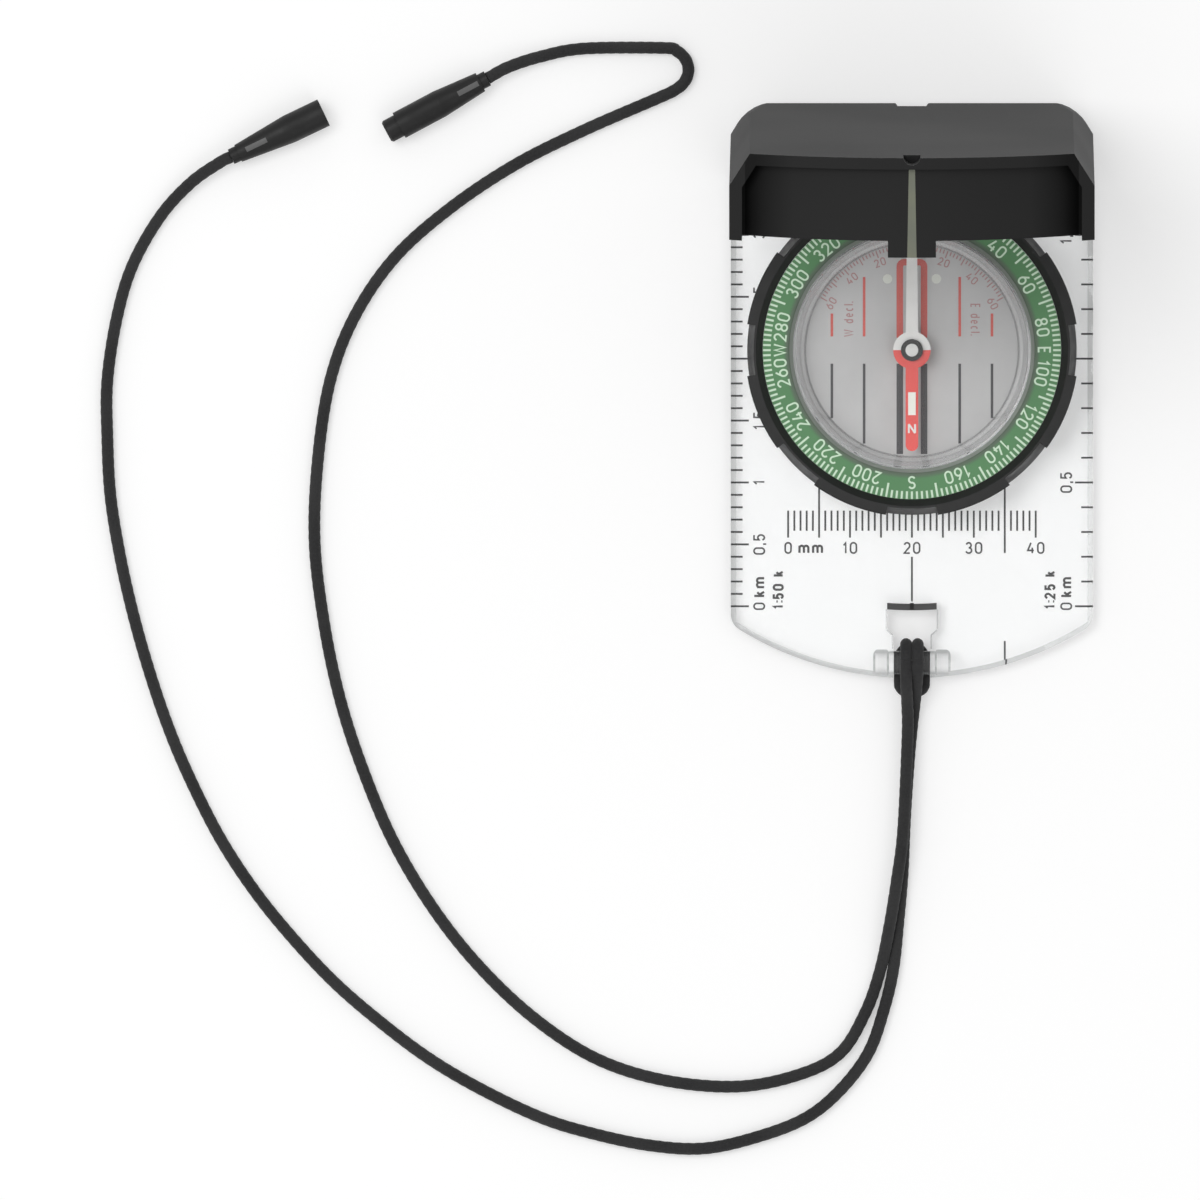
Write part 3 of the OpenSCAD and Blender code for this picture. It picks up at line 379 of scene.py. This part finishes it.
# The second colour of each clear plastic is painted shading on its steep faces
PLATE = clear("clear_acrylic", (0.975, 0.98, 0.98), (0.35, 0.36, 0.36), 0.0, 0.91, 0.08)
VIAL = clear("clear_vial", (0.85, 0.86, 0.86), (0.88, 0.88, 0.88), 0.2, 0.95, 0.95, milk=0.2)
LENS_CLEAR = clear("clear_lens", (1.0, 1.0, 1.0), (0.8, 0.8, 0.8), 0.0, 1.0, 0.9)
JEWEL = clear("jewel", (0.75, 0.25, 0.35), (0.6, 0.15, 0.25), 0.02, 0.6, 0.6, ior=1.76)
STEEL = metal("steel", (0.62, 0.62, 0.61), 0.3, (1, 8, 8))
BRASS = metal("brass", (0.75, 0.56, 0.25), 0.3, (8, 8, 1))
MIRROR = mirror_glass()
CORD = cord_weave()
PAINT = needle_paint()

FINISHES = {
    "baseplate": PLATE, "catch_bar": GREY, "hinge_pins": STEEL, "hinge_washers": WASHER,
    "bezel_ring": BLACK, "dial_ring": DIAL, "vial_bowl": VIAL, "vial_floor": DISC,
    "vial_lens": LENS_CLEAR, "lume_dots": DOTS, "snap_ring": BLACK, "pivot_pin": BRASS,
    "needle_blade": PAINT, "needle_hub": BLACK, "needle_jewel": JEWEL,
    "needle_cap": WHITE, "needle_lume": LUME, "cover_shell": COVER,
    "cover_mirror": MIRROR, "sight_line": SIGHT, "socket_body": RUBBER,
    "socket_collar": RUBBER, "socket_inset": INSET, "plug_body": RUBBER,
    "plug_nose": RUBBER, "plug_collar": RUBBER, "plug_inset": INSET,
}


def finish_nodes():
    for name, material in FINISHES.items():
        for holder in nodes[name].material_slots:
            holder.material = material


# ---- Cords ----

OUTER_ROUTE = [
    (0.98, -50.05, 5.45), (0.98, -51.9, 5.4), (0.4, -57.5, 2), (0, -61, 1.1),
    (-0.5, -66.5, 0.95), (-1.1, -75.5, 0.95), (-1.5, -84.5, 0.95), (-2.2, -92.5, 0.95),
    (-3, -100, 0.95), (-4.5, -106.5, 0.95), (-7, -113.5, 0.95), (-11.5, -119.5, 0.95),
    (-17, -124, 0.95), (-24.5, -127, 0.95), (-33.5, -129, 0.95), (-42.5, -128.5, 0.95),
    (-52, -126.5, 0.95), (-60, -124, 0.95), (-69.5, -119.5, 0.95), (-78, -114.5, 0.95),
    (-86, -108.5, 0.95), (-93.5, -102, 0.95), (-100.5, -94.5, 0.95), (-106.5, -87, 0.95),
    (-112, -78.5, 0.95), (-117, -68.5, 0.95), (-120.5, -60, 0.95), (-123.5, -51, 0.95),
    (-126, -42, 0.95), (-128, -33, 0.95), (-129.5, -23.5, 0.95), (-130, -14, 0.95),
    (-130, -5, 0.95), (-128.5, 5, 0.95), (-126, 13.5, 0.95), (-121.5, 21.5, 1),
    (-116.5, 27, 1.7), (-111.8, 30.3, 2.3), (-110, 31.2, 2.35),
]
INNER_ROUTE = [
    (-0.98, -50.05, 5.45), (-0.98, -53.8, 5.4), (-0.75, -57.5, 3.8), (-0.7, -62.5, 2.9),
    (-1.4, -77.5, 2.85), (-2.4, -85.5, 2.7), (-3.7, -93.5, 2.35), (-5.2, -100.5, 1),
    (-7.5, -107, 0.95), (-11.5, -113.5, 0.95), (-18, -117, 0.95), (-28, -119, 0.95),
    (-40, -118, 0.95), (-51, -114.5, 0.95), (-61, -108, 0.95), (-70, -99.5, 0.95),
    (-77.5, -90, 0.95), (-84, -79, 0.95), (-89, -67, 0.95), (-92.5, -56, 0.95),
    (-95, -44, 0.95), (-96.5, -31, 0.95), (-96, -18, 0.95), (-94, -5, 0.95), (-90, 5.5, 0.95),
    (-83.5, 15, 0.95), (-74.5, 23, 0.95), (-64, 30, 0.95), (-53, 35.5, 0.95),
    (-41.5, 40.5, 0.95), (-38.3, 42, 0.95), (-36.7, 43.4, 0.95), (-36.1, 45.2, 0.95),
    (-36.6, 47, 0.95), (-38, 48.3, 0.95), (-40, 48.8, 0.95), (-53, 48.7, 0.95),
    (-60, 47.4, 1.3), (-65.2, 45.7, 2.1), (-68.55, 43.9, 2.3),
]


def metres(points):
    return np.array(points, float) * MM


def smooth_line(points, step):
    """A Catmull-Rom line through the points, resampled to even steps."""
    p = np.vstack([2 * points[0] - points[1], points, 2 * points[-1] - points[-2]])
    fine = []
    for a, b, c, d in zip(p[:-3], p[1:-2], p[2:-1], p[3:]):
        t = np.linspace(0, 1, 60, endpoint=False)[:, None]
        ta, tb = t ** 2, t ** 3
        fine.append(0.5 * (2 * b + (c - a) * t + (2 * a - 5 * b + 4 * c - d) * ta
                           + (3 * b - a - 3 * c + d) * tb))
    line = np.vstack([*fine, points[-1:]])
    run = np.concatenate([[0], np.cumsum(np.linalg.norm(np.diff(line, axis=0), axis=1))])
    at = np.linspace(0, run[-1], int(run[-1] / step) + 1)
    return np.stack([np.interp(at, run, line[:, k]) for k in range(3)], axis=1), run[-1]


def frames_along(line):
    """Two normals at each point, carried along the line without twisting."""
    tangent = np.gradient(line, axis=0)
    tangent /= np.linalg.norm(tangent, axis=1)[:, None]
    side = np.empty_like(line)
    start = np.cross(tangent[0], (0, 0, 1))
    side[0] = start / np.linalg.norm(start)
    for i in range(1, len(line)):
        v = side[i - 1] - tangent[i] * np.dot(side[i - 1], tangent[i])
        side[i] = v / np.linalg.norm(v)
    return side, np.cross(tangent, side)


# The crowns of the braid stand a little proud of the cord's measured diameter
BRAID_SIDES, BRAID_STEP, BRAID_R = 24, 0.24 * MM, 0.985 * MM
BRAID_CARRIERS, BRAID_PITCH, BRAID_DEPTH = 8, 6.4 * MM, 0.05 * MM
# How far a strand that passes under another sinks, as a share of its height
BRAID_DIP = 0.45


def braid_height(angle, along):
    """Height of a two-under-two braid: strands of both hands pass over each other."""
    u = BRAID_CARRIERS / 2 * (angle / math.pi / 2 + along / BRAID_PITCH)
    v = BRAID_CARRIERS / 2 * (angle / math.pi / 2 - along / BRAID_PITCH)
    right, left = np.abs(np.sin(math.pi * u)), np.abs(np.sin(math.pi * v))
    over = 0.5 + 0.5 * np.cos(math.pi * (np.floor(u) + np.floor(v)))
    return np.maximum(right * (1 - BRAID_DIP * (1 - over)), left * (1 - BRAID_DIP * over))


def braided_tube(name, line):
    """A closed tube along a line, with the braid's lay in its surface."""
    side, up = frames_along(line)
    run = np.concatenate([[0], np.cumsum(np.linalg.norm(np.diff(line, axis=0), axis=1))])
    angle = np.arange(BRAID_SIDES) / BRAID_SIDES * 2 * math.pi
    height = braid_height(angle[None, :], run[:, None])
    radius = BRAID_R - BRAID_DEPTH * (1 - height)
    points = (line[:, None] + radius[..., None] * (side[:, None] * np.cos(angle)[None, :, None]
              + up[:, None] * np.sin(angle)[None, :, None]))
    rings = len(line)
    here = np.arange(rings - 1)[:, None] * BRAID_SIDES
    k = np.arange(BRAID_SIDES)[None]
    after = (k + 1) % BRAID_SIDES
    quads = np.stack([here + k, here + after, here + BRAID_SIDES + after,
                      here + BRAID_SIDES + k], axis=-1).reshape(-1, 4)
    faces = quads.tolist()
    faces += [list(range(BRAID_SIDES))[::-1],
              list(range((rings - 1) * BRAID_SIDES, rings * BRAID_SIDES))]
    mesh = bpy.data.meshes.new(name)
    mesh.from_pydata(points.reshape(-1, 3).tolist(), [], faces)
    mesh.shade_smooth()
    mesh.materials.append(CORD)
    piece = bpy.data.objects.new(name, mesh)
    scene.collection.objects.link(piece)
    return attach(piece, "base")


# The hitch in millimetres: the eyelet bar that it wraps, its strands' places beside the
# axis above and below that bar, and its loop
WRAP_R, WRAP_Y, BAR_Z = 2.25, -49.74, 3.2
TOP_X, LOW_X, LOOP_Y, LOOP_BEND = 0.93, 1.95, -55.09, 1.2
# The strands part from this angle below the bar's level, at this rate
PART_ANGLE, PART_RATE = 0.6, 3.24


def hitch_line():
    """Over the eyelet bar, outwards under it, round the loop and back the same way."""
    left = [(-TOP_X, WRAP_Y - 0.3, BAR_Z + WRAP_R)]
    for i in range(17):
        a = math.pi / 2 * (1 - i / 8)
        out = (1 - math.cos(min(math.pi, PART_RATE * max(0, -a - PART_ANGLE)))) / 2
        left.append((-TOP_X - (LOW_X - TOP_X) * out,
                     WRAP_Y + WRAP_R * math.cos(a), BAR_Z + WRAP_R * math.sin(a)))
    for i in range(7):
        a = math.pi * (1 + i / 12)
        left.append((LOOP_BEND - LOW_X + LOOP_BEND * math.cos(a),
                     LOOP_Y + LOOP_BEND * (1 + math.sin(a)), BAR_Z - WRAP_R))
    left = np.array(left)
    return np.vstack([left, (left * (-1, 1, 1))[::-1]]) * MM


# Between these heights a cord is eased from its route to its place over the bar
EASE_LOW, EASE_HIGH = 3 * MM, 5 * MM


def make_cords():
    """The hitch and both cords as braids, none of them lower than the table."""
    hitch, _ = smooth_line(hitch_line(), BRAID_STEP)
    hitch[:, 2] = np.maximum(hitch[:, 2], BRAID_R)
    piece = braided_tube("lanyard_hitch_braid", hitch)
    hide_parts("lanyard_hitch")
    plans = (
        ("outer", OUTER_ROUTE, [piece] + [nodes[n] for n in (
            "socket_body", "socket_collar", "socket_inset")]),
        ("inner", INNER_ROUTE, [nodes[n] for n in (
            "plug_body", "plug_nose", "plug_collar", "plug_inset")]),
    )
    for which, route, along in plans:
        route = metres(route)
        line, length = smooth_line(route, BRAID_STEP)
        line[:, 2] = np.maximum(line[:, 2], BRAID_R)
        raised = np.clip((line[:, 2] - EASE_LOW) / (EASE_HIGH - EASE_LOW), 0, 1)
        line[:, 0] *= 1 - (1 - TOP_X * MM / abs(route[0][0])) * raised
        cord = braided_tube(f"cord_{which}_braid", line)
        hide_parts(f"cord_{which}")
        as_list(along)


# ---- Print ----

def arc(x, y, rx, ry, start, end, count=9):
    """Points along an elliptical arc, between two angles in degrees."""
    turns = [math.radians(start + (end - start) * i / count) for i in range(count + 1)]
    return [(x + rx * math.cos(a), y + ry * math.sin(a)) for a in turns]


# Each glyph: its width in cap heights, and the centre lines of its strokes in a unit box.
# R is the radius of the round ends of 0 and 2.
R = 0.28
GLYPHS = {
    "0": (0.62, [arc(.5, 1 - R, .5, R, 180, 0) + arc(.5, R, .5, R, 0, -180) + [(0, 1 - R)]]),
    "1": (0.38, [[(0, .74), (.7, 1), (.7, 0)]]),
    "2": (0.6, [arc(.5, 1 - R, .48, R, 165, -38) + [(0, 0), (1, 0)]]),
    "3": (0.6, [arc(.46, .75, .44, .25, 160, -90), arc(.46, .26, .52, .26, 80, -160)]),
    "4": (0.64, [[(.52, 1), (0, .26), (1, .26)], [(.74, .52), (.74, 0)]]),
    "5": (0.58, [[(.95, 1), (.1, 1), (.04, .52)] + arc(.48, .32, .5, .32, 128, -155)]),
    "6": (0.62, [arc(.5, .32, .5, .32, 90, 450, 16), [(.72, 1), (.06, .48)]]),
    "8": (0.62, [arc(.5, .75, .42, .25, -90, 270, 16), arc(.5, .25, .5, .25, 90, 450, 16)]),
    "N": (0.62, [[(0, 0), (0, 1)], [(0, 1), (1, 0)], [(1, 0), (1, 1)]]),
    "E": (0.5, [[(1, 1), (0, 1), (0, 0), (1, 0)], [(0, .52), (.85, .52)]]),
    "S": (0.6, [arc(.5, .75, .46, .25, 25, 262) + arc(.5, .26, .5, .26, 82, -155)]),
    "W": (0.95, [[(0, 1), (.25, 0), (.5, .92), (.75, 0), (1, 1)]]),
    "k": (0.52, [[(0, 0), (0, 1)], [(.9, .7), (.05, .28)], [(.35, .44), (1, 0)]]),
    "m": (0.92, [[(0, 0), (0, .72)], arc(.25, .5, .25, .22, 180, 0) + [(.5, 0)],
                 arc(.75, .5, .25, .22, 180, 0) + [(1, 0)]]),
    "d": (0.54, [arc(.5, .34, .5, .34, 0, 360, 14), [(1, 0), (1, 1)]]),
    "e": (0.54, [[(.04, .36), (.96, .36)], arc(.5, .35, .48, .35, 0, 320)]),
    "c": (0.48, [arc(.5, .35, .5, .35, 50, 310)]),
    "l": (0.1, [[(.5, 0), (.5, 1)]]),
    ":": (0.1, [[(.5, .02), (.5, .16)], [(.5, .56), (.5, .7)]]),
    ".": (0.1, [[(.5, -.05), (.5, .1)]]),
    ",": (0.14, [[(.7, .12), (.2, -.18)]]),
    " ": (0.28, []),
}
GLYPH_GAP = 0.19
# Each stroke of a glyph stands this much over the one before, so no two tops coincide
STROKE_STEP = 0.006
INK_DEPTH = 0.03
# The mitre at a bend reaches at most half a width divided by this
SHARPEST_MITRE = 0.5


class Print:
    """Gathers printed strokes, in millimetres, into one thin mesh on a body."""

    def __init__(self, name, body, slot, z, material):
        self.name, self.body, self.slot = name, body, slot
        self.low, self.high, self.material = z, z + INK_DEPTH, material
        self.points, self.faces = [], []

    def strip(self, line, width, lift=0.0):
        """One stroke of even width along a line of points, as a closed solid."""
        high = self.high + lift
        line = [Vector(p) for p in line]
        closed = (line[0] - line[-1]).length < 1e-6
        if closed:
            line = line[:-1]
        count = len(line)
        sides = []
        for i, p in enumerate(line):
            before = line[i - 1] if i or closed else None
            after = line[(i + 1) % count] if i < count - 1 or closed else None
            a = (p - before).normalized() if before is not None else None
            b = (after - p).normalized() if after is not None else None
            a, b = a or b, b or a
            across = Vector((-a.y, a.x)) + Vector((-b.y, b.x))
            across.normalize()
            reach = width / 2 / max(SHARPEST_MITRE, across.dot(Vector((-a.y, a.x))))
            sides.append((p + across * reach, p - across * reach))
        first = len(self.points)
        for left, right in sides:
            self.points += [(left.x, left.y, self.low), (right.x, right.y, self.low),
                            (left.x, left.y, high), (right.x, right.y, high)]
        for i in range(count if closed else count - 1):
            m, n = first + 4 * i, first + 4 * ((i + 1) % count)
            self.faces += [(m + 2, m + 3, n + 3, n + 2), (m, n, n + 1, m + 1),
                           (m, m + 2, n + 2, n), (m + 1, n + 1, n + 3, m + 3)]
        if not closed:
            last = first + 4 * (count - 1)
            self.faces += [(first, first + 1, first + 3, first + 2),
                           (last, last + 2, last + 3, last + 1)]

    def text(self, words, height, weight, place, spacing=1.0, stretch=1.0):
        """Words whose middle is at u = 0 and whose feet are at v = 0, mapped by place(u, v)."""
        gap = GLYPH_GAP * height * spacing
        wide = [GLYPHS[c][0] * height * stretch for c in words]
        u = -(sum(wide) + gap * (len(words) - 1)) / 2
        tall = height - weight
        for c, w in zip(words, wide):
            for k, line in enumerate(GLYPHS[c][1]):
                self.strip([place(u + weight / 2 + x * max(w - weight, 0.01),
                                  weight / 2 + y * tall) for x, y in line],
                           weight, k * STROKE_STEP)
            u += w + gap

    def make(self):
        mesh = bpy.data.meshes.new(self.name)
        mesh.from_pydata([Vector(p) * MM for p in self.points], [], self.faces)
        mesh.materials.append(self.material)
        mesh.update()
        piece = bpy.data.objects.new(self.name, mesh)
        scene.collection.objects.link(piece)
        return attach(piece, self.body)


def level(x, y, turn=0.0):
    """Places text at a point, turned by an angle in degrees."""
    c, s = math.cos(math.radians(turn)), math.sin(math.radians(turn))
    return lambda u, v: (x + u * c - v * s, y + u * s + v * c)


def round_dial(bearing, r):
    """Places text on a circle about the axis, with its feet at radius r."""
    def place(u, v):
        a = math.radians(bearing) + u / (r + 1.0)
        return ((r + v) * math.sin(a), (r + v) * math.cos(a))
    return place


def polar(bearing, r):
    """A point at a bearing in degrees, clockwise from the cover, and a radius."""
    a = math.radians(bearing)
    return (r * math.sin(a), r * math.cos(a))


# All in millimetres. Heights at which each print lies on its piece:
BASE_Z, CATCH_Z, DIAL_Z, FLOOR_PRINT_Z, NEEDLE_Z = 0.02, 2.8, 6.9, 2.41, 5.5
# Figures, their stroke, the bolder stroke of units, and hairlines on the base
FIGURE, STROKE, BOLD, HAIRLINE = 1.95, 0.27, 0.36, 0.3
# The map scales: their edge, their zero, their length and their two lengths of mark
EDGE_X, ZERO_Y, SCALE_LENGTH, LONG_MARK, SHORT_MARK = 29.1, -41.4, 66, 2.75, 1.75
# The ruler: its length, its start, its top, and the feet of its figures
RULER, RULER_X, RULER_Y, RULER_FEET = 40, -20.0, -25.95, -32.95
# The dial: outer ends of its marks, height and stroke of its figures, and their feet
DIAL_R, DIAL_FIGURE, DIAL_STROKE, DIAL_FEET = 24.03, 2.15, 0.3, 20.3
# The vial's floor: the thick lines, the thin lines' width, and the declination scale
THICK_X, THICK, THIN, DECLINATION_R = 1.96, 1.05, 0.42, 17.02


def print_base():
    """Two map scales, the ruler, the long lines and the mark on the catch bar."""
    ink_grey = ink("base_ink", (0.09, 0.09, 0.09), 0.15)
    ink_dark = ink("catch_ink", (0.02, 0.02, 0.02), 0.1)
    base = Print("base_print", "base", "grey_plastic", BASE_Z, ink_grey)
    for side, pitch, marks, names in (
            (-1, 2.0, 5, ("0", "0,5", "1", "1,5", "2", "2,5", "3")),
            (1, 4.0, 5, ("0", "0,5", "1", "1,5"))):
        for i in range(int(SCALE_LENGTH / pitch) + 1):
            y = ZERO_Y + i * pitch
            mark = SHORT_MARK if i % marks else LONG_MARK
            base.strip([(side * EDGE_X, y), (side * (EDGE_X - mark), y)], HAIRLINE)
        foot = -23.7 if side < 0 else 25.9
        for i, name in enumerate(names):
            base.text(name, FIGURE, STROKE, level(foot, ZERO_Y + i * pitch * marks, 90))
        base.text("km", FIGURE, BOLD, level(foot, ZERO_Y + 3.1, 90), 1.1)
    base.text("1:50 k", 1.8, BOLD, level(-20.7, -38.75, 90))
    base.text("1:25 k", 1.8, BOLD, level(23.2, -38.75, 90))
    for i in range(RULER + 1):
        x = i + RULER_X
        base.strip([(x, RULER_Y), (x, -29.2 if i % 5 else -30.3)], HAIRLINE)
    for i in range(0, RULER + 1, 10):
        base.text(f"{i}", FIGURE, STROKE, level(i + RULER_X, RULER_FEET))
    base.text("mm", FIGURE, BOLD, level(-16.35, RULER_FEET), 1.1)
    for x, y0, y1 in ((-15, -20.0, -26.2), (15, -20.0, -26.2), (15, -30.1, -32.8),
                      (15, -47.0, -50.3), (0, -33.4, -40.6)):
        base.strip([(x, y0), (x, y1)], HAIRLINE)
    base.make()
    mark = Print("catch_print", "base", "grey_plastic", CATCH_Z, ink_dark)
    mark.strip([(0, -40.85), (0, -41.95)], 0.6)
    mark.make()


def print_dial():
    """Marks every 2 degrees, longer ones between the figures, and the four letters."""
    pale = ink("dial_ink", (0.66, 0.83, 0.65), 0.04)
    dial = Print("dial_print", "capsule", "white_plastic", DIAL_Z, pale)
    letters = {0: "N", 90: "E", 180: "S", 270: "W"}
    for b in range(0, 360, 2):
        long = b % 20 == 10 and b not in letters
        dial.strip([polar(b, DIAL_R), polar(b, 21.75 if long else 22.8)], 0.34)
    for b in range(0, 360, 20):
        if b not in letters:
            dial.text(str(b), DIAL_FIGURE, DIAL_STROKE, round_dial(b, DIAL_FEET), 0.8)
    for b, name in letters.items():
        dial.text(name, DIAL_FIGURE, DIAL_STROKE, round_dial(b, DIAL_FEET))
    dial.make()


def print_vial():
    """The orienting lines, red to the north and grey to the south, and the declination."""
    red = ink("vial_red", (0.64, 0.12, 0.10), 0.1)
    grey = ink("vial_grey", (0.07, 0.07, 0.075), 0.15)
    pink = ink("vial_pink", (0.44, 0.25, 0.25), 0.1)
    north = Print("vial_print_red", "capsule", "needle_paint", FLOOR_PRINT_Z, red)
    south = Print("vial_print_grey", "capsule", "grey_plastic", FLOOR_PRINT_Z, grey)
    faint = Print("vial_print_scale", "capsule", "needle_paint", FLOOR_PRINT_Z, pink)
    x, bend = THICK_X, 0.7
    north.strip([(-x, 2.0)] + arc(bend - x, 13.5, bend, bend, 180, 90, 4)
                + arc(x - bend, 13.5, bend, bend, 90, 0, 4) + [(x, 2.0)], THICK)
    for side in (-1, 1):
        south.strip([(side * x, -2.2), (side * x, -16.8)], THICK)
        for at, top, foot in ((7.72, 11.8, -15.1), (12.93, 5.9, -11.0)):
            north.strip([(side * at, 2.2), (side * at, top)], THIN)
            south.strip([(side * at, -2.2), (side * at, foot)], THIN)
    for b in range(-60, 61, 2):
        mark = 0.65 if b % 10 else 1.2
        faint.strip([polar(b, DECLINATION_R), polar(b, DECLINATION_R - mark)], 0.2)
    for b in (20, 40, 60):
        for side in (-1, 1):
            faint.text(str(b), 1.35, 0.2, round_dial(side * b, 14.4))
    faint.text("W decl.", 1.6, 0.2, level(-9.45, 4.95, 90), stretch=0.8)
    faint.text("E decl.", 1.6, 0.2, level(9.45, 4.95, -90), stretch=0.8)
    for piece in (north, south, faint):
        piece.make()


def print_needle():
    """The letter on the red half of the needle."""
    letter = Print("needle_letter", "needle", "white_plastic", NEEDLE_Z,
                   ink("needle_ink", (0.8, 0.8, 0.78), 0.02))
    letter.text("N", 1.75, 0.3, level(0, -13.55), stretch=1.2)
    letter.make()


make_camera()
make_floor()
make_light()
finish_nodes()
make_cords()
print_base()
print_dial()
print_vial()
print_needle()
